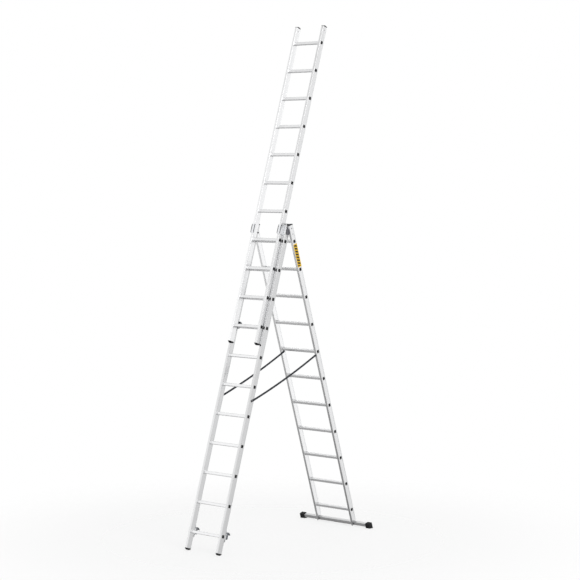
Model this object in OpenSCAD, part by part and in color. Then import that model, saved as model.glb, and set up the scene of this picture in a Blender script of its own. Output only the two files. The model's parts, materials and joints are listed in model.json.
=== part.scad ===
// Three-section combination ladder, standing as a stepladder with its top section pulled out.
//
// Frame: X runs along the rungs, with +X on the right of a climber on the front leg, Y runs
// from front to back and Z is up. The origin is on the floor, under the middle of the whole
// ladder. Each section is drawn upright, with its bottom rung's centre at the origin, its
// climbing side towards -Y and its stiles along Z. at_rear(), at_front() and at_top() place it.

/* [Sections] */
// Rungs in each of the three sections
rung_count = 11; // [9:1:13]
// Distance from one rung to the next
rung_pitch = 280; // [270:1:300]
// Outer width of the rear section, which is the widest
rear_width = 466; // [460:1:520]
// Side gap between the stiles of two nested sections
nest_gap = 4; // [4:0.1:5]
// Distance from front to back between the rungs of two nested sections
nest_depth = 46.5; // [46.5:0.5:50]
// Rungs by which the top section is pulled out
extended_rungs = 7; // [0:1:8]
// Lean of each leg from the vertical
lean = 18; // [15:0.25:20]

/* [Stiles] */
// Width of a stile's section
stile_w = 24; // [24:0.5:28]
// Depth of a stile's section, front to back
stile_d = 58; // [58:0.5:60]
// Wall thickness of a stile
stile_wall = 1.2; // [1:0.1:2]
// Depth of the shallow channel along a stile's two side faces
channel_depth = 0.7; // [0.6:0.1:1]
// Flat edge on each side of the channel
channel_land = 10; // [8:0.5:11]
// Length of stile below the bottom rung
stile_below = 156; // [150:1:190]
// Length of stile above the top rung
stile_above = 160; // [150:1:170]

/* [Rungs] */
// Height and depth of a rung's section
rung_size = 28; // [26:0.5:28]
// Wall thickness of a rung
rung_wall = 1.1; // [1:0.1:1.6]
// Anti-slip grooves on the top of a rung, and on its underside
rung_grooves = 5; // [3:1:6]

/* [Feet and caps] */
// Drop of the rounded rubber foot below the end of its stile
foot_drop = 18; // [16:1:22]
// Height of the rounded part of an end cap
cap_rise = 8; // [5:1:12]

/* [Stabilizer] */
// Length of the floor bar, over its rubber end feet
bar_length = 890; // [800:10:1100]
// Height of the floor bar's section
bar_h = 30; // [28:1:32]
// Depth of the floor bar's section
bar_d = 32; // [28:1:34]
// Length of a rubber end foot
end_foot_l = 50; // [46:1:60]
// Depth of a rubber end foot, front to back
end_foot_d = 46; // [44:1:50]
// Rubber of an end foot above the floor bar
end_foot_rise = 7; // [5:1:10]

/* [Hinge] */
// Height of the fold pivot above the top rung
hinge_rise = 85; // [80:1:88]
// Radius of the pivot pin
pin_r = 4; // [3:0.5:5]
// Radial clearance of a pin that turns
pin_gap = 0.05; // [0.03:0.01:0.1]
// Thickness of the hinge plates
plate_t = 3; // [2.5:0.1:3]

/* [Spreader straps] */
// Width of the webbing
strap_w = 20; // [16:1:25]
// Thickness of the webbing
strap_t = 1.5; // [1.2:0.1:1.6]
// Height of the rear anchor along its stile
strap_rear_s = 1650; // [1500:10:1660]
// Height of the front anchor along its stile
strap_front_s = 1270; // [1150:10:1270]
// Sag of the webbing at mid span
strap_sag = 16; // [5:1:40]

/* [Hooks] */
// Width of a hook's steel strip, and of the plate that holds it
hook_w = 21.5; // [18:0.5:22]
// Thickness of a hook's steel strip
hook_t = 4; // [3:0.5:5]

/* [Hidden] */
$fn = 48;
// How far a cutting shape overshoots the face it cuts
cut = 1;

front_width = rear_width - 2 * (stile_w + nest_gap);
top_width = front_width - 2 * (stile_w + nest_gap);
last_rung_s = (rung_count - 1) * rung_pitch;
stile_top_s = last_rung_s + stile_above;
extension = extended_rungs * rung_pitch;

stile_corner = 3;
rung_corner = 5;
rung_fit = 0.1;
groove_w = 1.3;
groove_depth = 0.6;
groove_pitch = 3.2;
ridge_w = 1.5;
ridge_y = 17.5;
ridge_rise = 0.4;

// The foot's tread is an arc that stands a little proud of the stile's front and back.
foot_lip = 2;
foot_half = stile_d / 2 + foot_lip;
foot_r = (foot_half * foot_half + foot_drop * foot_drop) / (2 * foot_drop);
foot_centre_s = foot_r - foot_drop - stile_below;
tread_step = 8;
tread_grooves = 8;
tread_groove = [2, 1.5];
foot_overhang = 0.5;

cap_base = 4;
cap_r = (stile_d * stile_d / 4 + cap_rise * cap_rise) / (2 * cap_rise);
stem_gap = 0.4;
stem_l = 40;

// The pivot lies halfway between two nested sections, so the legs fold flat on each other.
hinge_s = last_rung_s + hinge_rise;
hinge_y = nest_depth / 2;
hinge_z = foot_r + (hinge_s - foot_centre_s) * cos(lean) - hinge_y * sin(lean);

// The rear stiles stand on the floor bar, and only their front walls run on down over it.
rear_cut_s = -122;
tab_tip_s = -165;
bar_gap = 2;
bar_s = rear_cut_s - bar_gap - bar_h / 2;
bar_y = bar_d / 2 - stile_d / 2 + bar_gap;
bar_wall = 1.6;
bar_in_foot = 10;
bar_ribs = [-8, 0, 8];
bar_rib = [1, 3];
pocket_gap = 0.2;
end_foot_corner = 5;
end_foot_h = 100;
end_foot_ribs = [-2:2];
end_foot_rib_pitch = 9;
end_foot_rib = [3, 1.5];

// How far the soles reach back and the feet reach forward of the pivot, to centre the ladder
sole_back = hinge_z * tan(lean) + (hinge_y + bar_y + end_foot_d / 2) / cos(lean);
foot_front = (hinge_s + stile_below) * sin(lean) + (hinge_y + foot_half) * cos(lean);
pivot_y = (foot_front - sole_back) / 2;

// The steel strip of a hook runs back over the next section's rung and down behind it.
hook_plate_t = 3;
hook_rest_s = rung_size / 2 + 0.6;
hook_leg_y = nest_depth + rung_size / 2 + 1.5;
hook_drop_s = -18;
hook_plate_s = [-48, 62];

// Over the strip stands a flat arch, whose nose guides the hook onto the rung.
hook_arch_r = 38;
hook_arch_y = stile_d / 2 + 30.5;
hook_arch_s = 11;
hook_nose_s = 26;

// The safety latch stands under the rung, on a cross pin held by two ears.
latch_y = stile_d / 2 + 8;
latch_s = -37;
latch_w = 11;
latch_r = 6;
latch_bore_r = 2 + pin_gap;
latch_len = 19;
latch_tilt = 22;
latch_arm = 5;
latch_hub_r = 4.5;
ear_t = 2;
ear_rise = 16;
ear_gap = 0.4;

// The guide brackets hold the top section's stiles to the front section.
guide_t = 2.8;
guide_s = [last_rung_s + 55, last_rung_s + 145];
guide_back_y = 8;
guide_gap = 1;
guide_lip = 15;
guide_bolt_y = -4;
guide_bolt_in = 22;
guide_bolt = [6, 3];

head_t = 0.6;
rivet_r = 4;
cap_rivet_s = stile_top_s - 34;
bolt_offset_x = 20;
bolt_head_r = 8;
bolt_head_t = 5;
strap_x = rear_width / 2 - stile_w - nest_gap / 2;
strap_rear_y = 2;
strap_front_y = 2;
strap_bolt_r = 3;
strap_head_r = 7;
strap_head_t = [2.6, 0.9];
strap_end = 12;
strap_steps = 24;

// The hinge plate's outline from the rear stile's middle, against height from the pivot
plate_outline = [
    [10, -18], [-20, -16], [-56, 2], [-62, 10], [-60, 20], [-38, 50], [-30, 58], [10, 58]
];
plate_rivets_s = [-12, 46];
pin_reach = 12;
washer = [8, 1.2];
nut = [7.5, 6.5];
nut_gap = 0.5;

function rung_name(section, i) = str(section, "_rung_", i < 10 ? "0" : "", i);
function rung_names(section) = [for (i = [1:rung_count]) rung_name(section, i)];

// ---- Placing ----

module at_rear()
    translate([0, pivot_y, hinge_z]) rotate([lean, 0, 0]) translate([0, hinge_y, -hinge_s])
        children();

module at_front()
    translate([0, pivot_y, hinge_z]) rotate([-lean, 0, 0]) translate([0, -hinge_y, -hinge_s])
        children();

module at_top() at_front() translate([0, -nest_depth, extension]) children();

// On the left stile (side -1) or the right stile (side 1) of a section of this width
module on_stile(width, side) translate([side * (width - stile_w) / 2, 0, 0]) children();

module on_both(width) for (side = [-1, 1]) on_stile(width, side) children();

// A flat shape drawn as front-to-back against height, made this thick along X
module across(thickness) rotate([90, 0, 90]) linear_extrude(thickness, center = true) children();

// ---- Shapes that repeat ----

module rounded_box(w, d, r) {
    square([w - 2 * r, d], center = true);
    square([w, d - 2 * r], center = true);
    for (sx = [-1, 1], sy = [-1, 1])
        translate([sx * (w / 2 - r), sy * (d / 2 - r)]) circle(r = r);
}

// A stile's extruded section: a box with a shallow ribbed channel along each side face
module stile_section() {
    side_x = stile_w / 2 - channel_depth;
    difference() {
        rounded_box(stile_w, stile_d, stile_corner);
        for (side = [-1, 1])
            translate([side * stile_w / 2, 0])
                square([2 * channel_depth, stile_d - 2 * channel_land], center = true);
        square([2 * (side_x - stile_wall), stile_d - 2 * stile_wall], center = true);
    }
    for (side = [-1, 1], y = [-ridge_y, ridge_y])
        translate([side * (side_x - ridge_rise), y]) square([4 * ridge_rise, ridge_w], center = true);
}

module stile(from_s) difference() {
    translate([0, 0, from_s]) linear_extrude(stile_top_s - from_s) stile_section();
    for (i = [0:rung_count - 1]) translate([0, 0, i * rung_pitch]) rotate([0, 90, 0])
        linear_extrude(2 * stile_w, center = true)
            rounded_box(rung_size + 2 * rung_fit, rung_size + 2 * rung_fit, rung_corner);
}

module rear_stile() difference() {
    stile(tab_tip_s);
    translate([-stile_w, -stile_d / 2 + stile_wall, tab_tip_s - cut])
        cube([2 * stile_w, stile_d, rear_cut_s - tab_tip_s + cut]);
    // the tab's tip is round
    difference() {
        translate([-stile_w, -stile_d, tab_tip_s - cut])
            cube([2 * stile_w, stile_d, stile_w / 2 + cut]);
        translate([0, 0, tab_tip_s + stile_w / 2]) rotate([90, 0, 0])
            cylinder(r = stile_w / 2, h = 3 * stile_d, center = true);
    }
}

module front_stile(side) difference() {
    stile(-stile_below);
    translate([0, hinge_y, hinge_s]) rotate([0, 90, 0])
        cylinder(r = pin_r + pin_gap, h = 2 * stile_w, center = true);
}

// A rung: a ribbed square tube that passes through both stiles
module rung(width, i) {
    groove_span = (rung_grooves - 1) / 2;
    core = rung_size - 2 * (rung_wall + groove_depth);
    translate([0, 0, (i - 1) * rung_pitch]) rotate([0, 90, 0])
        linear_extrude(width - 2 * channel_depth, center = true) difference() {
            rounded_box(rung_size, rung_size, rung_corner);
            for (side = [-1, 1], k = [-groove_span:groove_span])
                translate([side * rung_size / 2, k * groove_pitch])
                    square([2 * groove_depth, groove_w], center = true);
            rounded_box(core, core, rung_corner - rung_wall);
        }
}

// The part of a plug, foot or cap that sits inside the stile's end
module stem(from_s, length) translate([0, 0, from_s + length / 2]) cube([
    stile_w - 2 * (channel_depth + stile_wall + stem_gap),
    stile_d - 2 * (stile_wall + stem_gap),
    length
], center = true);

module end_cap() {
    across(stile_w) intersection() {
        translate([0, stile_top_s + cap_base + cap_rise - cap_r]) circle(r = cap_r, $fn = 96);
        translate([-stile_d / 2, stile_top_s]) square([stile_d, cap_base + cap_rise]);
    }
    stem(stile_top_s - stem_l, stem_l + cap_base / 2);
}

module rubber_foot() {
    across(stile_w + 2 * foot_overhang) difference() {
        intersection() {
            translate([0, foot_centre_s]) circle(r = foot_r, $fn = 96);
            translate([-foot_half, -stile_below - foot_drop]) square([2 * foot_half, foot_drop]);
        }
        for (k = [0:tread_grooves - 1])
            translate([0, foot_centre_s]) rotate((k - (tread_grooves - 1) / 2) * tread_step)
                translate([0, -foot_r]) square([tread_groove[0], 2 * tread_groove[1]], center = true);
    }
    stem(-stile_below - foot_drop / 4, stem_l);
}

// The hook, its plate and the ears and pin of its latch, all on the back of a stile
module hook() {
    back_y = stile_d / 2;
    across(hook_w) {
        translate([back_y, hook_plate_s[0]]) square([hook_plate_t, hook_plate_s[1] - hook_plate_s[0]]);
        translate([back_y, hook_rest_s]) square([hook_leg_y + hook_t - back_y, hook_t]);
        translate([hook_leg_y, hook_drop_s])
            square([hook_t, hook_arch_s + hook_arch_r - hook_t + cut - hook_drop_s]);
        intersection() {
            translate([hook_arch_y, hook_arch_s]) difference() {
                circle(r = hook_arch_r, $fn = 96);
                circle(r = hook_arch_r - hook_t, $fn = 96);
            }
            translate([back_y, hook_nose_s]) square(2 * hook_arch_r);
        }
    }
    for (side = [-1, 1]) translate([side * (latch_w / 2 + ear_gap + ear_t / 2), 0, 0]) across(ear_t) {
        translate([latch_y, latch_s]) circle(r = latch_r);
        translate([back_y, latch_s - latch_r]) square([latch_y - back_y, latch_r + ear_rise]);
    }
    translate([0, latch_y, latch_s]) rotate([0, 90, 0])
        cylinder(r = latch_bore_r - pin_gap, h = latch_w + 2 * (ear_gap + ear_t), center = true);
}

module latch() translate([0, latch_y, latch_s]) across(latch_w) difference() {
    union() {
        circle(r = latch_hub_r);
        rotate(-latch_tilt) translate([-latch_arm / 2, 0]) square([latch_arm, latch_len]);
    }
    circle(r = latch_bore_r);
}

// A C-shaped clip around the front of the top section's stile, seen on the right stile
module guide_bracket() {
    inner_x = front_width / 2 - stile_w;
    plate_x = inner_x - guide_t;
    front_y = -nest_depth - stile_d / 2 - guide_gap;
    lip_x = top_width / 2 - stile_w - guide_gap - guide_t;
    translate([0, 0, guide_s[0]]) linear_extrude(guide_s[1] - guide_s[0]) {
        translate([plate_x, front_y - guide_t]) square([guide_t, guide_back_y - front_y + guide_t]);
        translate([lip_x, front_y - guide_t]) square([inner_x - lip_x, guide_t]);
        translate([lip_x, front_y - guide_t]) square([guide_t, guide_lip]);
    }
}

module strap_outline() {
    rear = [pivot_y + (hinge_s - strap_rear_s) * sin(lean) + (hinge_y + strap_rear_y) * cos(lean),
            hinge_z - (hinge_s - strap_rear_s) * cos(lean) + (hinge_y + strap_rear_y) * sin(lean)];
    front = [pivot_y - (hinge_s - strap_front_s) * sin(lean) - (hinge_y - strap_front_y) * cos(lean),
             hinge_z - (hinge_s - strap_front_s) * cos(lean) + (hinge_y - strap_front_y) * sin(lean)];
    run = norm(rear - front);
    slope = atan2(rear[1] - front[1], rear[0] - front[0]);
    at = function(t) [t * run, -4 * strap_sag * t * (1 - t)];
    edge = strap_end / run;
    ts = [for (k = [0:strap_steps]) -edge + k / strap_steps * (1 + 2 * edge)];
    translate(front) rotate(slope) difference() {
        polygon(concat(
            [for (t = ts) at(t) + [0, strap_w / 2]],
            [for (k = [strap_steps:-1:0]) at(ts[k]) - [0, strap_w / 2]]
        ));
        for (t = [0, 1]) translate(at(t)) circle(r = strap_bolt_r + rung_fit);
    }
}

module strap(side) translate([side * strap_x, 0, 0]) across(strap_t) strap_outline();

// A flat rivet head in the channel of a stile, on its outer face (out 1) or inner face (out -1)
module rivet_head(width, side, out, y, s) on_stile(width, side)
    translate([side * out * (stile_w / 2 - channel_depth + head_t / 2), y, s]) rotate([0, 90, 0])
        cylinder(r = rivet_r, h = head_t, center = true);

module cap_rivets(width) for (side = [-1, 1], out = [-1, 1])
    rivet_head(width, side, out, 0, cap_rivet_s);

// A bolt that holds the webbing to a stile face at face_x. Its head is beyond the webbing, and
// is thick where it faces the ladder's middle and thin where it faces the other leg's stile.
module strap_bolt(side, face_x, head_x, y, s) translate([0, y, s]) rotate([0, side * 90, 0]) {
    inward = head_x < face_x;
    head = inward ? strap_head_t[0] : strap_head_t[1];
    translate([0, 0, min(face_x, head_x)]) cylinder(r = strap_bolt_r, h = abs(head_x - face_x));
    translate([0, 0, head_x - (inward ? head : 0)]) cylinder(r = strap_head_r, h = head);
}

module rear_section_rung(i) color("silver") at_rear() rung(rear_width, i);

module front_section_rung(i) color("silver") at_front() rung(front_width, i);

module top_section_rung(i) color("silver") at_top() rung(top_width, i);

// ---- Rear section ----

module rear_stile_left() color("gainsboro") at_rear() on_stile(rear_width, -1) rear_stile();

module rear_stile_right() color("gainsboro") at_rear() on_stile(rear_width, 1) rear_stile();

module rear_caps() color("dimgray") at_rear() on_both(rear_width) end_cap();

// The plates stand in the gap between the legs' stiles and reach forward of the rear stiles.
module hinge_plates() color("slategray") at_rear() for (side = [-1, 1])
    translate([side * (rear_width / 2 - stile_w - plate_t / 2), 0, 0]) across(plate_t)
        translate([0, hinge_s]) polygon(plate_outline);

// A stud welded to each hinge plate, on which the front section's stile turns
module hinge_pins() color("lightgray") at_rear() for (side = [-1, 1])
    translate([side * (rear_width / 2 - stile_w - plate_t), -hinge_y, hinge_s])
        rotate([0, -side * 90, 0]) cylinder(r = pin_r, h = stile_w + pin_reach);

module stabilizer_bar() color("darkgray") at_rear() translate([0, bar_y, bar_s]) difference() {
    across(bar_length - 2 * bar_in_foot) difference() {
        square([bar_d, bar_h], center = true);
        for (side = [-1, 1], z = bar_ribs)
            translate([side * bar_d / 2, z]) square([2 * bar_rib[0], bar_rib[1]], center = true);
        square([bar_d - 2 * (bar_wall + bar_rib[0]), bar_h - 2 * bar_wall], center = true);
    }
    for (side = [-1, 1])
        translate([side * (rear_width - stile_w) / 2 + bolt_offset_x, 0, 0]) rotate([90, 0, 0])
            cylinder(r = pin_r + rung_fit, h = 2 * bar_d, center = true);
}

// Rubber feet on the bar's ends. They lean with it, are ribbed and have a sole flat on the floor.
module stabilizer_feet() color("black") for (side = [-1, 1]) {
    foot_x = side * (bar_length - end_foot_l) / 2;
    top_s = bar_s + bar_h / 2 + end_foot_rise;
    difference() {
        at_rear() difference() {
            translate([foot_x, bar_y, top_s - end_foot_h / 2])
                across(end_foot_l) rounded_box(end_foot_d, end_foot_h, end_foot_corner);
            translate([0, bar_y, bar_s]) cube([
                bar_length - 2 * (bar_in_foot - pocket_gap),
                bar_d + 2 * pocket_gap,
                bar_h + 2 * pocket_gap
            ], center = true);
            for (k = end_foot_ribs, face = [-1, 1])
                translate([
                    foot_x + k * end_foot_rib_pitch,
                    bar_y + face * end_foot_d / 2,
                    top_s - end_foot_corner - end_foot_h / 2
                ]) cube([end_foot_rib[0], 2 * end_foot_rib[1], end_foot_h], center = true);
        }
        // below the floor
        translate([foot_x, pivot_y + sole_back, -end_foot_h])
            cube([2 * end_foot_l, 4 * end_foot_d, 2 * end_foot_h], center = true);
    }
}

module rear_fasteners() color("dimgray") {
    at_rear() {
        cap_rivets(rear_width);
        for (side = [-1, 1]) {
            // bolts of the floor bar, with a head in front and a nut behind
            translate([side * (rear_width - stile_w) / 2 + bolt_offset_x, bar_y, bar_s])
                rotate([90, 0, 0]) {
                    cylinder(r = pin_r, h = bar_d + 2 * cut, center = true);
                    translate([0, 0, bar_d / 2]) cylinder(r = bolt_head_r, h = bolt_head_t);
                    translate([0, 0, -bar_d / 2 - bolt_head_t])
                        cylinder(r = nut[0], h = bolt_head_t, $fn = 6);
                }
            // nuts on the hinge studs
            translate([side * (front_width / 2 - stile_w - nut_gap), -hinge_y, hinge_s])
                rotate([0, -side * 90, 0]) difference() {
                    union() {
                        cylinder(r = washer[0], h = washer[1]);
                        translate([0, 0, washer[1]]) cylinder(r = nut[0], h = nut[1], $fn = 6);
                    }
                    translate([0, 0, -cut]) cylinder(r = pin_r + pin_gap, h = stile_w);
                }
            strap_bolt(side, rear_width / 2 - stile_w + channel_depth, strap_x - strap_t / 2,
                strap_rear_y, strap_rear_s);
            for (s = plate_rivets_s) rivet_head(rear_width, side, 1, 0, hinge_s + s);
        }
    }
}

module strap_left() color("slategray") strap(-1);

module strap_right() color("slategray") strap(1);

// ---- Front section ----

module front_stile_left() color("gainsboro") at_front() on_stile(front_width, -1) front_stile();

module front_stile_right() color("gainsboro") at_front() on_stile(front_width, 1) front_stile();

module front_caps() color("dimgray") at_front() on_both(front_width) end_cap();

module front_feet() color("black") at_front() on_both(front_width) rubber_foot();

module front_hooks() color("gray") at_front() on_both(front_width) hook();

module guide_brackets() color("lightgray") at_front() {
    guide_bracket();
    mirror([1, 0, 0]) guide_bracket();
}

module front_fasteners() color("dimgray") at_front() {
    cap_rivets(front_width);
    for (side = [-1, 1]) {
        strap_bolt(side, front_width / 2 - channel_depth, strap_x + strap_t / 2,
            strap_front_y, strap_front_s);
        // bolts of the guide brackets, behind the top section's stile
        for (s = [guide_s[0] + guide_bolt_in, guide_s[1] - guide_bolt_in])
            translate([side * (front_width / 2 - stile_w - guide_t), guide_bolt_y, s])
                rotate([0, -side * 90, 0]) cylinder(r = guide_bolt[0], h = guide_bolt[1]);
    }
}

module front_latch_left() color("gray") at_front() on_stile(front_width, -1) latch();

module front_latch_right() color("gray") at_front() on_stile(front_width, 1) latch();

// ---- Top section ----

module top_stile_left() color("gainsboro") at_top() on_stile(top_width, -1) stile(-stile_below);

module top_stile_right() color("gainsboro") at_top() on_stile(top_width, 1) stile(-stile_below);

module top_caps() color("dimgray") at_top() on_both(top_width) end_cap();

module top_feet() color("black") at_top() on_both(top_width) rubber_foot();

module top_hooks() color("gray") at_top() on_both(top_width) hook();

module top_fasteners() color("dimgray") at_top() cap_rivets(top_width);

module top_latch_left() color("gray") at_top() on_stile(top_width, -1) latch();

module top_latch_right() color("gray") at_top() on_stile(top_width, 1) latch();

// ---- The ladder ----

rear_stile_left();
rear_stile_right();
for (i = [1:rung_count]) rear_section_rung(i);
rear_caps();
hinge_plates();
hinge_pins();
stabilizer_bar();
stabilizer_feet();
rear_fasteners();
strap_left();
strap_right();
front_stile_left();
front_stile_right();
for (i = [1:rung_count]) front_section_rung(i);
front_caps();
front_feet();
front_hooks();
guide_brackets();
front_fasteners();
front_latch_left();
front_latch_right();
top_stile_left();
top_stile_right();
for (i = [1:rung_count]) top_section_rung(i);
top_caps();
top_feet();
top_hooks();
top_fasteners();
top_latch_left();
top_latch_right();
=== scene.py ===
"""The looks of a three-section combination ladder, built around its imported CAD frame."""
import json
import math

import bmesh
import bpy
from mathutils import Matrix, Vector


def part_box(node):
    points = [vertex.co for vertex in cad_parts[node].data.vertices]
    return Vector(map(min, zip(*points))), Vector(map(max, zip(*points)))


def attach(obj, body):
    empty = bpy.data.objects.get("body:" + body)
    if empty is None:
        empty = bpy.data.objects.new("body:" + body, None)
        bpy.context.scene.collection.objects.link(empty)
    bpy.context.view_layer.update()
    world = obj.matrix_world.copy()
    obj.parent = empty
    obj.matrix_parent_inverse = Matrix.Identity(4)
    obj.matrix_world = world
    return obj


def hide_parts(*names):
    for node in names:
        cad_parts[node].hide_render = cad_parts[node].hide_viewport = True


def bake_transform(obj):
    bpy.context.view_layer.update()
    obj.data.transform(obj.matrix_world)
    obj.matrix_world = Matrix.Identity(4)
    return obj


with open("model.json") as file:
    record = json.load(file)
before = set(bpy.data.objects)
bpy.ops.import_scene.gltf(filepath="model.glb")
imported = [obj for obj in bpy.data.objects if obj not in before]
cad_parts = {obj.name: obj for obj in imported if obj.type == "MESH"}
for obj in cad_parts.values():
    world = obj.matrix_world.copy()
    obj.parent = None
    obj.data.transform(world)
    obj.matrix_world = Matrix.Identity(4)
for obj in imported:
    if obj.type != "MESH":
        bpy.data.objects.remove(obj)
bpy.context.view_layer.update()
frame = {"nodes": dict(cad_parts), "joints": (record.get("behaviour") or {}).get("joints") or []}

MM = 0.001
SECTIONS = ("rear", "front", "top")
SIDES = {"left": -1, "right": 1}
joints = {joint["name"]: joint for joint in frame["joints"]}
pivot = Vector(joints["leg_fold"]["pos_m"])
lean = math.atan2(joints["top_extension"]["axis"][1], joints["top_extension"]["axis"][2])


# ---- The three sections' own frames ----

def node_centre(node):
    low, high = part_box(node)
    return (low + high) / 2


def section_matrix(section):
    """Bottom rung's centre at the origin, X along the rung, Y to the back and Z up the stiles."""
    first, last = node_centre(f"{section}_rung_01"), node_centre(f"{section}_rung_11")
    up = (last - first).normalized()
    across = Vector((1, 0, 0))
    back = up.cross(across)
    return Matrix.Translation(first) @ Matrix((across, back, up)).transposed().to_4x4()


RUNGS = 11
PLACE = {section: section_matrix(section) for section in SECTIONS}
PITCH = (node_centre("rear_rung_11") - node_centre("rear_rung_01")).length / (RUNGS - 1)
WIDTH = {s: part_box(f"{s}_stile_right")[1].x * 2 for s in SECTIONS}
STILE_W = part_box("top_stile_right")[1].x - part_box("top_stile_right")[0].x
CHANNEL = (WIDTH["top"] - (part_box("top_rung_01")[1].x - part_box("top_rung_01")[0].x)) / 2
RUNG_SIZE = 28 * MM


# ---- Camera ----

LENS = 116.89
CAMERA_FROM_PIVOT = Vector((11.760, -13.345, 0.651))
CAMERA_HEADING = 40.852
CAMERA_TILT = -3.827


def make_camera():
    """Eye level with the upper part of the ladder, from its front right, on a long lens."""
    camera = bpy.data.objects.new("camera", bpy.data.cameras.new("camera"))
    camera.data.sensor_width = 36
    camera.data.lens = LENS
    camera.location = pivot + CAMERA_FROM_PIVOT
    heading, tilt = math.radians(CAMERA_HEADING), math.radians(CAMERA_TILT)
    aim = Vector((
        -math.sin(heading) * math.cos(tilt), math.cos(heading) * math.cos(tilt), math.sin(tilt)
    ))
    camera.rotation_mode = "QUATERNION"
    camera.rotation_quaternion = aim.to_track_quat("-Z", "Y")
    bpy.context.scene.collection.objects.link(camera)
    bpy.context.scene.camera = camera


make_camera()


# ---- Shader helpers ----

class Shader:
    """A material's node tree, with short calls for the nodes used here."""

    def __init__(self, name):
        self.material = bpy.data.materials.new(name)
        self.material.use_nodes = True
        self.tree = self.material.node_tree
        self.bsdf = self.tree.nodes["Principled BSDF"]

    def set(self, **sockets):
        for name, value in sockets.items():
            self.bsdf.inputs[name.replace("_", " ")].default_value = value
        return self

    def node(self, kind, **values):
        made = self.tree.nodes.new(kind)
        for name, value in values.items():
            if name in made.inputs:
                made.inputs[name].default_value = value
            else:
                setattr(made, name, value)
        return made

    def link(self, source, target):
        self.tree.links.new(source, target)

    def coordinates(self, turn_x=0.0, scale=(1, 1, 1)):
        """The piece's own coordinates, turned about X and stretched."""
        place = self.node("ShaderNodeTexCoord").outputs["Object"]
        turn = self.node("ShaderNodeMapping")
        turn.inputs["Rotation"].default_value = (turn_x, 0, 0)
        self.link(place, turn.inputs["Vector"])
        stretch = self.node("ShaderNodeMapping")
        stretch.inputs["Scale"].default_value = scale
        self.link(turn.outputs["Vector"], stretch.inputs["Vector"])
        return stretch.outputs["Vector"]

    def noise(self, vector, scale, detail=2.0, rough=0.5):
        made = self.node("ShaderNodeTexNoise", Scale=scale, Detail=detail, Roughness=rough)
        self.link(vector, made.inputs["Vector"])
        return made.outputs["Fac"]

    def wave(self, vector, scale, direction="X", distortion=0.0):
        made = self.node("ShaderNodeTexWave", Scale=scale, Distortion=distortion)
        made.bands_direction = direction
        self.link(vector, made.inputs["Vector"])
        return made.outputs["Fac"]

    def ramp(self, value, stops):
        """A colour ramp. stops are (position, colour) or (position, grey)."""
        made = self.node("ShaderNodeValToRGB")
        elements = made.color_ramp.elements
        while len(elements) < len(stops):
            elements.new(0.5)
        for element, (at, colour) in zip(elements, stops):
            element.position = at
            element.color = (*colour, 1) if isinstance(colour, tuple) else (colour,) * 3 + (1,)
        self.link(value, made.inputs["Fac"])
        return made.outputs["Color"]

    def mix(self, share, a, b, blend="MIX"):
        made = self.node("ShaderNodeMix", data_type="RGBA", blend_type=blend)
        for socket, value in ((made.inputs[0], share), (made.inputs[6], a), (made.inputs[7], b)):
            if isinstance(value, (int, float)):
                socket.default_value = value
            elif isinstance(value, tuple):
                socket.default_value = (*value, 1)
            else:
                self.link(value, socket)
        return made.outputs[2]

    def math(self, operation, a, b):
        made = self.node("ShaderNodeMath", operation=operation)
        for socket, value in zip(made.inputs, (a, b)):
            if isinstance(value, (int, float)):
                socket.default_value = value
            else:
                self.link(value, socket)
        return made.outputs[0]

    def bump(self, height, distance, strength=1.0):
        made = self.node("ShaderNodeBump", Distance=distance, Strength=strength)
        self.link(height, made.inputs["Height"])
        self.link(made.outputs["Normal"], self.bsdf.inputs["Normal"])

    def colour(self, socket):
        self.link(socket, self.bsdf.inputs["Base Color"])

    def roughness(self, value, low, high):
        made = self.node("ShaderNodeMapRange")
        made.inputs["To Min"].default_value = low
        made.inputs["To Max"].default_value = high
        self.link(value, made.inputs["Value"])
        self.link(made.outputs["Result"], self.bsdf.inputs["Roughness"])


# ---- Materials ----

def silver(tone):
    """Aluminium's slightly cool grey, at this brightness."""
    return (tone, 1.003 * tone, 1.01 * tone)


def extruded_aluminium(name, turn_x, along, light, dark, rough=(0.16, 0.3)):
    """Mill-finish aluminium with faint die lines along the extrusion and soft handling marks."""
    shader = Shader(name).set(Metallic=1.0)
    fine = {"z": (900, 900, 4), "x": (4, 900, 900)}[along]
    lines = shader.noise(shader.coordinates(turn_x, fine), 1.0, detail=3.0)
    broad = {"z": (160, 160, 1.2), "x": (1.2, 160, 160)}[along]
    bands = shader.noise(shader.coordinates(turn_x, broad), 1.0, detail=2.0)
    marks = shader.noise(shader.coordinates(turn_x), 14.0, detail=6.0, rough=0.65)
    tone = shader.ramp(bands, [(0.3, dark), (0.7, light)])
    scuffs = shader.ramp(marks, [(0.62, 0.0), (0.78, 1.0)])
    worn = tuple(0.86 * channel for channel in dark)
    shader.colour(shader.mix(scuffs, tone, worn))
    shader.roughness(shader.mix(0.4, lines, marks), *rough)
    shader.bump(lines, 0.00012, 0.5)
    return shader.material


def plated_steel(name, light, dark, rough=(0.28, 0.5), grain=60.0):
    """Zinc-plated steel: cloudy grey with fine pits."""
    shader = Shader(name).set(Metallic=1.0)
    place = shader.coordinates()
    clouds = shader.noise(place, grain, detail=5.0, rough=0.6)
    pits = shader.noise(place, 900.0, detail=2.0)
    shader.colour(shader.ramp(clouds, [(0.3, dark), (0.7, light)]))
    shader.roughness(clouds, *rough)
    shader.bump(pits, 0.00008, 0.4)
    return shader.material


def coated_steel(name, light, dark):
    """Grey powder coat with an orange-peel surface."""
    shader = Shader(name).set(Metallic=0.0, Coat_Weight=0.15, Coat_Roughness=0.3)
    place = shader.coordinates()
    clouds = shader.noise(place, 30.0, detail=4.0)
    peel = shader.noise(place, 700.0, detail=1.0)
    shader.colour(shader.ramp(clouds, [(0.3, dark), (0.7, light)]))
    shader.roughness(clouds, 0.4, 0.55)
    shader.bump(peel, 0.0001, 0.5)
    return shader.material


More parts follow.
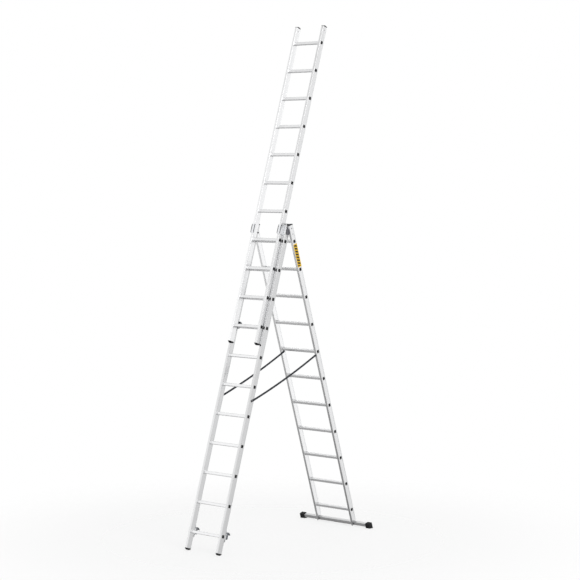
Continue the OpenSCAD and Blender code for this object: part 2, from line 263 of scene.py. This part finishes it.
def moulded(name, light, dark, rough, grain, depth):
    """Moulded plastic or rubber: fine grain and dusty patches."""
    shader = Shader(name).set(Specular_IOR_Level=0.22)
    place = shader.coordinates()
    dust = shader.noise(place, 45.0, detail=5.0, rough=0.6)
    skin = shader.noise(place, grain, detail=2.0)
    shader.colour(shader.ramp(dust, [(0.35, dark), (0.75, light)]))
    shader.roughness(dust, *rough)
    shader.bump(skin, depth, 0.6)
    return shader.material


TURN = {"rear": -lean, "front": lean, "top": lean}
# Light and dark tone of the metal, for each stile and for each section's rungs. The stiles are all one
# aluminium; their tones differ as painted light and shade, lit and shaded copies of one material.
STILE_TONE_WITH_PAINTED_LIGHT = {
    "rear_left": (0.98, 0.95), "rear_right": (0.88, 0.82), "front_left": (0.74, 0.68),
    "front_right": (0.72, 0.65), "top_left": (0.93, 0.88), "top_right": (0.83, 0.77),
}
# Each stile's material is a lit or shaded copy of the same aluminium: painted light and shade.
STILE_METAL = {
    name: extruded_aluminium(
        f"stile_aluminium_painted_shade_{name}", TURN[name.split("_")[0]], "z", *map(silver, tone)
    )
    for name, tone in STILE_TONE_WITH_PAINTED_LIGHT.items()
}
# The rungs' tones are painted light and shade too: one aluminium, given a brighter tone on the front
# section and a darker one on the rear, for how light falls on each.
RUNG_TONE_WITH_PAINTED_LIGHT = {"rear": (0.82, 0.74), "front": (0.92, 0.84), "top": (0.88, 0.80)}
RUNG_METAL = {
    name: extruded_aluminium(f"rung_aluminium_painted_shade_{name}", 0.0, "x", *map(silver, tone), (0.30, 0.46))
    for name, tone in RUNG_TONE_WITH_PAINTED_LIGHT.items()
}
BAR_METAL = extruded_aluminium("bar_aluminium", -lean, "x", silver(0.60), silver(0.50), (0.34, 0.5))
CAP_PLASTIC = moulded(
    "cap_plastic", (0.075, 0.076, 0.08), (0.045, 0.046, 0.05), (0.42, 0.6), 900, 0.00008
)
PLUG_PLASTIC = moulded(
    "plug_plastic", (0.02, 0.02, 0.021), (0.008, 0.008, 0.009), (0.3, 0.5), 1100, 0.00005
)
FOOT_RUBBER = moulded(
    "foot_rubber", (0.030, 0.030, 0.031), (0.010, 0.010, 0.011), (0.6, 0.85), 700, 0.00015
)
THREAD = moulded("strap_thread", (0.30, 0.31, 0.34), (0.22, 0.23, 0.26), (0.6, 0.8), 1200, 0.00004)
HINGE_COAT = coated_steel("hinge_coat", (0.17, 0.17, 0.19), (0.12, 0.12, 0.135))
ZINC = plated_steel("zinc_steel", (0.92, 0.93, 0.95), (0.76, 0.77, 0.79), (0.22, 0.4))
HOOK_STEEL = plated_steel("hook_steel", (0.32, 0.33, 0.35), (0.19, 0.20, 0.21))
BOLT_STEEL = plated_steel("bolt_steel", (0.22, 0.22, 0.23), (0.10, 0.10, 0.11), (0.3, 0.45))


def webbing_material():
    """Near-black polyester webbing. U runs along the strap and V across it, in millimetres."""
    shader = Shader("strap_webbing").set(Sheen_Weight=0.1, Sheen_Roughness=0.5)
    uv = shader.node("ShaderNodeUVMap").outputs["UV"]
    ribs = shader.wave(uv, 0.32, "X")
    picks = shader.wave(uv, 0.42, "Y")
    weave = shader.math("MULTIPLY", ribs, picks)
    fade = shader.noise(shader.coordinates(), 9.0, detail=4.0)
    cloth = shader.ramp(fade, [(0.3, (0.022, 0.025, 0.034)), (0.7, (0.036, 0.040, 0.052))])
    shaded = shader.mix(0.55, cloth, (0.010, 0.011, 0.014))
    shader.colour(shader.mix(weave, shaded, cloth))
    shader.roughness(weave, 0.75, 0.95)
    shader.bump(weave, 0.0004, 0.8)
    return shader.material


WEBBING = webbing_material()


# The label's drawing, as shares of its width U and of its height V
BAR_COUNT, BAR_SLANT, BAR_GAP = 8.0, 0.7, 0.36
INK_HALF_WIDTH, INK_HALF_HEIGHT = 0.37, 0.46


def label_material():
    """A yellow film with plain slanting dark bars, drawn from its UV in 0..1."""
    shader = Shader("label_film").set(Specular_IOR_Level=0.25)
    uv = shader.node("ShaderNodeUVMap").outputs["UV"]
    split = shader.node("ShaderNodeSeparateXYZ")
    shader.link(uv, split.inputs[0])
    u, v = split.outputs[0], split.outputs[1]

    def off_centre(value):
        return shader.math("ABSOLUTE", shader.math("SUBTRACT", value, 0.5), 0)

    climb = shader.math("MULTIPLY", v, BAR_COUNT)
    slant = shader.math("ADD", climb, shader.math("MULTIPLY", u, BAR_SLANT))
    bars = shader.math("GREATER_THAN", shader.math("FRACT", slant, 0.0), BAR_GAP)
    inside = shader.math("LESS_THAN", off_centre(u), INK_HALF_WIDTH)
    ends = shader.math("LESS_THAN", off_centre(v), INK_HALF_HEIGHT)
    ink = shader.math("MULTIPLY", shader.math("MULTIPLY", bars, inside), ends)
    fade = shader.noise(shader.coordinates(), 25.0, detail=4.0)
    film = shader.ramp(fade, [(0.3, (0.84, 0.50, 0.004)), (0.7, (0.93, 0.60, 0.012))])
    shader.colour(shader.mix(ink, film, (0.035, 0.028, 0.02)))
    shader.roughness(fade, 0.28, 0.42)
    return shader.material


LABEL_FILM = label_material()


def node_material(node):
    """The material that a CAD node gets."""
    if "stile" in node:
        return STILE_METAL[node.replace("stile_", "")]
    if "_rung_" in node:
        return RUNG_METAL[node.split("_")[0]]
    for word, material in (
        ("caps", CAP_PLASTIC), ("feet", FOOT_RUBBER), ("hinge_plates", HINGE_COAT), ("hinge_pins", ZINC),
        ("brackets", ZINC), ("bar", BAR_METAL), ("hooks", HOOK_STEEL), ("latch", HOOK_STEEL),
        ("fasteners", BOLT_STEEL), ("strap", WEBBING),
    ):
        if word in node:
            return material
    raise ValueError(node)


for name, node in frame["nodes"].items():
    node.data.materials.clear()
    node.data.materials.append(node_material(name))


# ---- Mesh helpers ----

def finish_mesh(name, mesh, material, matrix=None, smooth_angle=35):
    """Turns a bmesh into an object, placed by matrix, with its normals outward and smooth faces."""
    bmesh.ops.recalc_face_normals(mesh, faces=mesh.faces)
    data = bpy.data.meshes.new(name)
    mesh.to_mesh(data)
    mesh.free()
    if matrix is not None:
        data.transform(matrix)
    data.materials.append(material)
    made = bpy.data.objects.new(name, data)
    bpy.context.scene.collection.objects.link(made)
    for face in data.polygons:
        face.use_smooth = True
    data.set_sharp_from_angle(angle=math.radians(smooth_angle))
    return made


def rounded_rectangle(width, height, radius, steps=5):
    """Corner points of a rounded rectangle around the origin, anticlockwise."""
    points = []
    for turn, (sx, sy) in enumerate(((1, 1), (-1, 1), (-1, -1), (1, -1))):
        centre = Vector((sx * (width / 2 - radius), sy * (height / 2 - radius)))
        for k in range(steps + 1):
            angle = math.pi / 2 * (turn + k / steps)
            points.append(centre + radius * Vector((math.cos(angle), math.sin(angle))))
    return points


def loft(mesh, rings, close_ends=True, loop=False):
    """Joins rings of equally many points. Returns the rings' vertices."""
    made = [[mesh.verts.new(point) for point in ring] for ring in rings]
    pairs = list(zip(made, made[1:])) + ([(made[-1], made[0])] if loop else [])
    for lower, upper in pairs:
        for k in range(len(lower)):
            after = (k + 1) % len(lower)
            mesh.faces.new((lower[k], lower[after], upper[after], upper[k]))
    if close_ends and not loop:
        mesh.faces.new(list(reversed(made[0])))
        mesh.faces.new(made[-1])
    return made


def stack(mesh, outline_at, levels, centre, direction):
    """Lofts outline_at(inset) through (height, inset) levels along X, outward for direction 1."""
    rings = []
    for height, inset in levels:
        rings.append([
            centre + Vector((direction * height, point.x, point.y)) for point in outline_at(inset)
        ])
    loft(mesh, rings)


# ---- Rung plugs and collars ----

PLUG_SIZE = 30 * MM
PLUG_CORNER = 6 * MM
# Millimetres out from the channel's floor, and in from the plug's edge
PLUG_LEVELS = [(-0.4, 0), (0.25, 0), (0.55, 0.35), (0.62, 1.2), (0.62, 4.6), (0.2, 5.4), (0.12, 8)]
# Millimetres in from the floor of the stile's inner channel, and out from the rung
COLLAR_PROFILE = [(0.02, 0.02), (2.0, 0.02), (2.45, 0.6), (2.3, 1.4), (1.4, 2.6), (0.02, 3.5)]
RUNG_CORNER = 5 * MM


def plug_outline(inset):
    size = PLUG_SIZE - 2 * inset
    return rounded_rectangle(size, size, max(PLUG_CORNER - inset, 1 * MM))


def rung_plugs(section):
    """Black end plugs: a bevelled flange with a shallow dished middle, in the stile's channel."""
    mesh = bmesh.new()
    levels = [(height * MM, inset * MM) for height, inset in PLUG_LEVELS]
    for side in SIDES.values():
        face_x = side * (WIDTH[section] / 2 - CHANNEL)
        for rung in range(RUNGS):
            stack(mesh, plug_outline, levels, Vector((face_x, 0, rung * PITCH)), side)
    piece = finish_mesh(f"{section}_rung_plugs", mesh, PLUG_PLASTIC, PLACE[section])
    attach(piece, f"{section}_section")


def rung_collars(section):
    """The bead that is rolled up round each rung where it enters the stile's inner face."""
    mesh = bmesh.new()
    inner_x = WIDTH[section] / 2 - STILE_W
    for side in SIDES.values():
        for rung in range(RUNGS):
            rings = []
            for depth, out in COLLAR_PROFILE:
                size = RUNG_SIZE + 2 * out * MM
                x = side * (inner_x + CHANNEL - depth * MM)
                rings.append([
                    Vector((x, point.x, point.y + rung * PITCH))
                    for point in rounded_rectangle(size, size, RUNG_CORNER + out * MM)
                ])
            loft(mesh, rings, loop=True)
    piece = finish_mesh(f"{section}_rung_collars", mesh, RUNG_METAL[section], PLACE[section], 60)
    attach(piece, f"{section}_section")


for section in SECTIONS:
    rung_plugs(section)
    rung_collars(section)


# ---- Spreader straps ----

STRAP_X = (WIDTH["rear"] / 2 + WIDTH["front"] / 2 - STILE_W) / 2
STRAP_REAR = Vector((0, 2 * MM, 1650 * MM))
STRAP_FRONT = Vector((0, 2 * MM, 1270 * MM))
STRAP_WIDTH = 20 * MM
STRAP_THICK = 1.5 * MM
STRAP_SAG = 16 * MM
STRAP_END = 12 * MM
STRAP_STEPS = 160
STITCH_ROWS = range(-6, 7)
STITCH_ROW_PITCH = 1.35 * MM
# Distances from the bolt to the bars of stitches, in millimetres
STITCH_BARS = (16, 19, 22)
STITCH_PROUD = 0.775 * MM
# Millimetres out from the webbing's face, and out from the bolt's axis
EYELET_PROFILE = [(-0.1, 6.0), (0.35, 6.2), (0.45, 7.6), (0.3, 8.8), (-0.1, 9.2)]


def strap_path(side):
    """The run from the front bolt to the rear bolt: at(t) gives a point and its upward normal."""
    across = Vector((side * STRAP_X, 0, 0))
    front, rear = PLACE["front"] @ (STRAP_FRONT + across), PLACE["rear"] @ (STRAP_REAR + across)
    run = rear - front
    up = Vector((1, 0, 0)).cross(run).normalized()

    def at(t):
        slope = up * (4 * STRAP_SAG * (2 * t - 1)) + run
        normal = Vector((1, 0, 0)).cross(slope).normalized()
        return front + run * t - up * (4 * STRAP_SAG * t * (1 - t)), normal

    return at, run.length


def strap_section():
    """Half thickness and height of points round the webbing's flat section, with bead edges."""
    half_w, half_t = STRAP_WIDTH / 2, STRAP_THICK / 2
    heights = [-1.0, -0.97, -0.9, -0.84, -0.78, -0.4, 0.0, 0.4, 0.78, 0.84, 0.9, 0.97, 1.0]
    bulge = [0.35, 0.85, 1.0, 0.95, 0.8, 0.8, 0.8, 0.8, 0.8, 0.95, 1.0, 0.85, 0.35]
    front = [(half_t * b, half_w * h) for h, b in zip(heights, bulge)]
    return front + [(-x, z) for x, z in reversed(front)]


def webbing_strap(side_name):
    """One flat band of webbing on edge, with thicker selvedges, bolted at both ends."""
    side = SIDES[side_name]
    at, length = strap_path(side)
    mesh = bmesh.new()
    uv = mesh.loops.layers.uv.new("UVMap")
    low, high = -STRAP_END / length, 1 + STRAP_END / length
    shares = [low + (high - low) * k / STRAP_STEPS for k in range(STRAP_STEPS + 1)]
    section = strap_section()
    rings = []
    for t in shares:
        point, normal = at(t)
        rings.append([point + Vector((x, 0, 0)) + normal * z for x, z in section])
    uv_of = {}
    for t, ring in zip(shares, loft(mesh, rings)):
        for vertex, (_, z) in zip(ring, section):
            uv_of[vertex] = (1000 * length * t, 1000 * z)
    for face in mesh.faces:
        for loop in face.loops:
            loop[uv].uv = uv_of[loop.vert]
    strap = finish_mesh(f"strap_webbing_{side_name}", mesh, WEBBING, smooth_angle=50)
    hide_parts(f"strap_{side_name}")
    rear_end, front_end = at(1)[0], at(0)[0]
    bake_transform(strap)


def strap_stitches(side_name):
    """Three bars of stitches on both faces of the webbing, at each end of a strap."""
    at = strap_path(SIDES[side_name])[0]
    for end, t, section in (("front", 0.0, "front_section"), ("rear", 1.0, "rear_section")):
        inward = 1 if end == "front" else -1
        point, normal = at(t)
        toward = (at(t + inward * 0.01)[0] - point).normalized()
        stitches = bmesh.new()
        for row in STITCH_ROWS:
            for bar in STITCH_BARS:
                centre = point + toward * (bar * MM) + normal * (row * STITCH_ROW_PITCH)
                for face_side in (-1, 1):
                    proud = Vector((face_side * STITCH_PROUD, 0, 0))
                    stitch(stitches, centre + proud, normal)
        thread = finish_mesh(f"strap_stitches_{side_name}_{end}", stitches, THREAD, smooth_angle=60)
        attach(thread, section)


def strap_eyelets(side_name):
    """The dished steel washer under the head of each strap bolt."""
    side = SIDES[side_name]
    at = strap_path(side)[0]
    for end, t, section, outward in (
        ("front", 0.0, "front_section", side), ("rear", 1.0, "rear_section", -side)
    ):
        mesh = bmesh.new()
        place = at(t)[0] + Vector((outward * STRAP_THICK / 2, 0, 0))
        rings = []
        for depth, reach in EYELET_PROFILE:
            rings.append([
                place + MM * Vector((outward * depth, reach * math.cos(a), reach * math.sin(a)))
                for a in (math.tau * k / 40 for k in range(40))
            ])
        loft(mesh, rings, loop=True)
        eyelet = finish_mesh(f"strap_eyelet_{side_name}_{end}", mesh, BOLT_STEEL, smooth_angle=50)
        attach(eyelet, section)


def stitch(mesh, centre, along):
    """One thread stitch: a small rounded pill that lies along the given direction."""
    length, radius = 1.1 * MM, 0.28 * MM
    out = Vector((1, 0, 0))
    third = along.cross(out)
    rings = []
    for reach, size in ((-1, 0.25), (-0.75, 0.8), (0, 1.0), (0.75, 0.8), (1, 0.25)):
        middle_point = centre + along * (reach * length / 2)
        rings.append([
            middle_point + radius * size * (math.cos(a) * out + math.sin(a) * third)
            for a in (math.tau * k / 8 for k in range(8))
        ])
    loft(mesh, rings)


for side_name in SIDES:
    webbing_strap(side_name)
    strap_stitches(side_name)
    strap_eyelets(side_name)


# ---- Glides on the guide brackets ----

GLIDE_BACK = -78 * MM
GLIDE_ENDS = (2858 * MM, 2942 * MM)
GLIDE_X = (149 * MM, 181.5 * MM)
GLIDE_BOW = 1.2 * MM
GLIDE_STEPS = 24
# Width of a glide at its end, one step in, and from there on
GLIDE_SIZES = (3.4 * MM, 4.8 * MM, 5.2 * MM)


def bracket_glides():
    """Black nylon beads clipped on the two upright edges of each guide bracket's front."""
    mesh = bmesh.new()
    low, high = GLIDE_ENDS
    for side in SIDES.values():
        for x in GLIDE_X:
            rings = []
            for k in range(GLIDE_STEPS + 1):
                share = k / GLIDE_STEPS
                size = GLIDE_SIZES[min(k, GLIDE_STEPS - k, 2)]
                bow = GLIDE_BOW * math.sin(math.pi * share)
                centre = Vector((side * x, GLIDE_BACK - bow, low + (high - low) * share))
                rings.append([
                    centre + Vector((point.x, point.y, 0))
                    for point in rounded_rectangle(size, size, 1.6 * MM)
                ])
            loft(mesh, rings)
    piece = finish_mesh("guide_bracket_glides", mesh, PLUG_PLASTIC, PLACE["front"], 50)
    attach(piece, "front_section")


bracket_glides()


# ---- Label ----

LABEL_WIDTH, LABEL_HEIGHT = 51 * MM, 229 * MM
LABEL_PROUD = 0.2 * MM
LABEL_BELOW_RUNG = 140.5 * MM


def make_label():
    """A film on the outer face of the right rear stile, between its two top rungs."""
    centre = Vector((WIDTH["rear"] / 2 - CHANNEL, 0, (RUNGS - 1) * PITCH - LABEL_BELOW_RUNG))
    mesh = bmesh.new()
    uv = mesh.loops.layers.uv.new("UVMap")
    outline = rounded_rectangle(LABEL_WIDTH, LABEL_HEIGHT, 3 * MM)
    depths = (0, CHANNEL + LABEL_PROUD)
    loft(mesh, [[centre + Vector((depth, p.x, p.y)) for p in outline] for depth in depths])
    for face in mesh.faces:
        for loop in face.loops:
            at = loop.vert.co - centre
            loop[uv].uv = (0.5 + at.y / LABEL_WIDTH, 0.5 + at.z / LABEL_HEIGHT)
    piece = finish_mesh("rear_label", mesh, LABEL_FILM, PLACE["rear"])
    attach(piece, "rear_section")


make_label()


# ---- Stage and light ----

FLOOR_RADIUS = 4.0
FLOOR_ALPHA = 0.28
LIGHT_STRENGTH = 1.25
# Brightness against the sine of the elevation, for light that comes from the front and the back
FRONT_LIGHT = [
    (-0.62, 0.2), (-0.53, 0.25), (-0.45, 0.85), (0.1, 1.05), (0.27, 1.24), (0.53, 0.74), (0.9, 0.7)
]
BACK_LIGHT = [
    (-0.6, 0.62), (-0.39, 0.40), (-0.14, 0.98), (0.08, 1.00), (0.28, 0.72), (0.55, 0.62), (0.9, 0.8)
]


def make_floor():
    """A pale floor round the ladder's feet that fades out into the white backdrop."""
    mesh = bmesh.new()
    bmesh.ops.create_circle(mesh, cap_ends=True, radius=FLOOR_RADIUS, segments=96)
    shader = Shader("floor")
    place = shader.coordinates()
    away = shader.node("ShaderNodeVectorMath", operation="LENGTH")
    shader.link(place, away.inputs[0])
    fade = shader.node("ShaderNodeMapRange", interpolation_type="SMOOTHSTEP")
    fade.inputs["From Min"].default_value = 1.3
    fade.inputs["From Max"].default_value = FLOOR_RADIUS * 0.95
    fade.inputs["To Min"].default_value = FLOOR_ALPHA
    fade.inputs["To Max"].default_value = 0.0
    shader.link(away.outputs["Value"], fade.inputs["Value"])
    shader.link(fade.outputs["Result"], shader.bsdf.inputs["Alpha"])
    speckle = shader.noise(place, 40.0, detail=3.0)
    shader.colour(shader.ramp(speckle, [(0.3, (0.90, 0.90, 0.90)), (0.7, (0.92, 0.92, 0.92))]))
    shader.roughness(speckle, 0.85, 0.95)
    floor = finish_mesh("floor", mesh, shader.material)
    floor.visible_glossy = False


def area_light(name, place, aim, size, power):
    light = bpy.data.objects.new(name, bpy.data.lights.new(name, "AREA"))
    light.data.shape = "RECTANGLE"
    light.data.size, light.data.size_y = size
    light.data.energy = power
    light.location = Vector(place)
    light.rotation_mode = "QUATERNION"
    light.rotation_quaternion = (Vector(aim) - Vector(place)).to_track_quat("-Z", "Y")
    bpy.context.scene.collection.objects.link(light)


def make_world():
    """A plain white backdrop, and two sweeps of light, before and behind the ladder."""
    world = bpy.data.worlds.new("studio")
    world.use_nodes = True
    bpy.context.scene.world = world
    tree = world.node_tree
    tree.nodes.clear()

    def add(kind, **values):
        made = tree.nodes.new(kind)
        for name, value in values.items():
            setattr(made, name, value)
        return made

    place, split = add("ShaderNodeTexCoord"), add("ShaderNodeSeparateXYZ")
    tree.links.new(place.outputs["Generated"], split.inputs[0])
    height = add("ShaderNodeMapRange")
    height.inputs["From Min"].default_value = -1
    tree.links.new(split.outputs["Z"], height.inputs["Value"])
    sweeps = []
    for levels in (FRONT_LIGHT, BACK_LIGHT):
        node = add("ShaderNodeValToRGB")
        elements = node.color_ramp.elements
        while len(elements) < len(levels):
            elements.new(0.5)
        for element, (sine, grey) in zip(elements, levels):
            grey /= LIGHT_STRENGTH
            element.position, element.color = (sine + 1) / 2, (grey, grey, grey, 1)
        tree.links.new(height.outputs["Result"], node.inputs["Fac"])
        sweeps.append(node.outputs["Color"])
    behind = add("ShaderNodeMapRange", interpolation_type="SMOOTHSTEP")
    behind.inputs["From Min"].default_value, behind.inputs["From Max"].default_value = -0.25, 0.25
    tree.links.new(split.outputs["Y"], behind.inputs["Value"])
    both = add("ShaderNodeMix", data_type="RGBA")
    for socket, source in ((0, behind.outputs["Result"]), (6, sweeps[0]), (7, sweeps[1])):
        tree.links.new(source, both.inputs[socket])
    light, seen = add("ShaderNodeBackground"), add("ShaderNodeBackground")
    light.inputs["Strength"].default_value = LIGHT_STRENGTH
    tree.links.new(both.outputs[2], light.inputs["Color"])
    seen.inputs["Color"].default_value = (1, 1, 1, 1)
    path, mix = add("ShaderNodeLightPath"), add("ShaderNodeMixShader")
    out = add("ShaderNodeOutputWorld")
    tree.links.new(path.outputs["Is Camera Ray"], mix.inputs["Fac"])
    tree.links.new(light.outputs[0], mix.inputs[1])
    tree.links.new(seen.outputs[0], mix.inputs[2])
    tree.links.new(mix.outputs[0], out.inputs["Surface"])


make_floor()
make_world()
middle = Vector((0, 0, 2.2))
area_light("key", (10.0, -3.0, 9.0), middle, (7, 7), 300)
area_light("fill", (-7.0, 8.0, 8.5), middle, (6, 6), 110)
bpy.context.scene.view_settings.view_transform = "Standard"
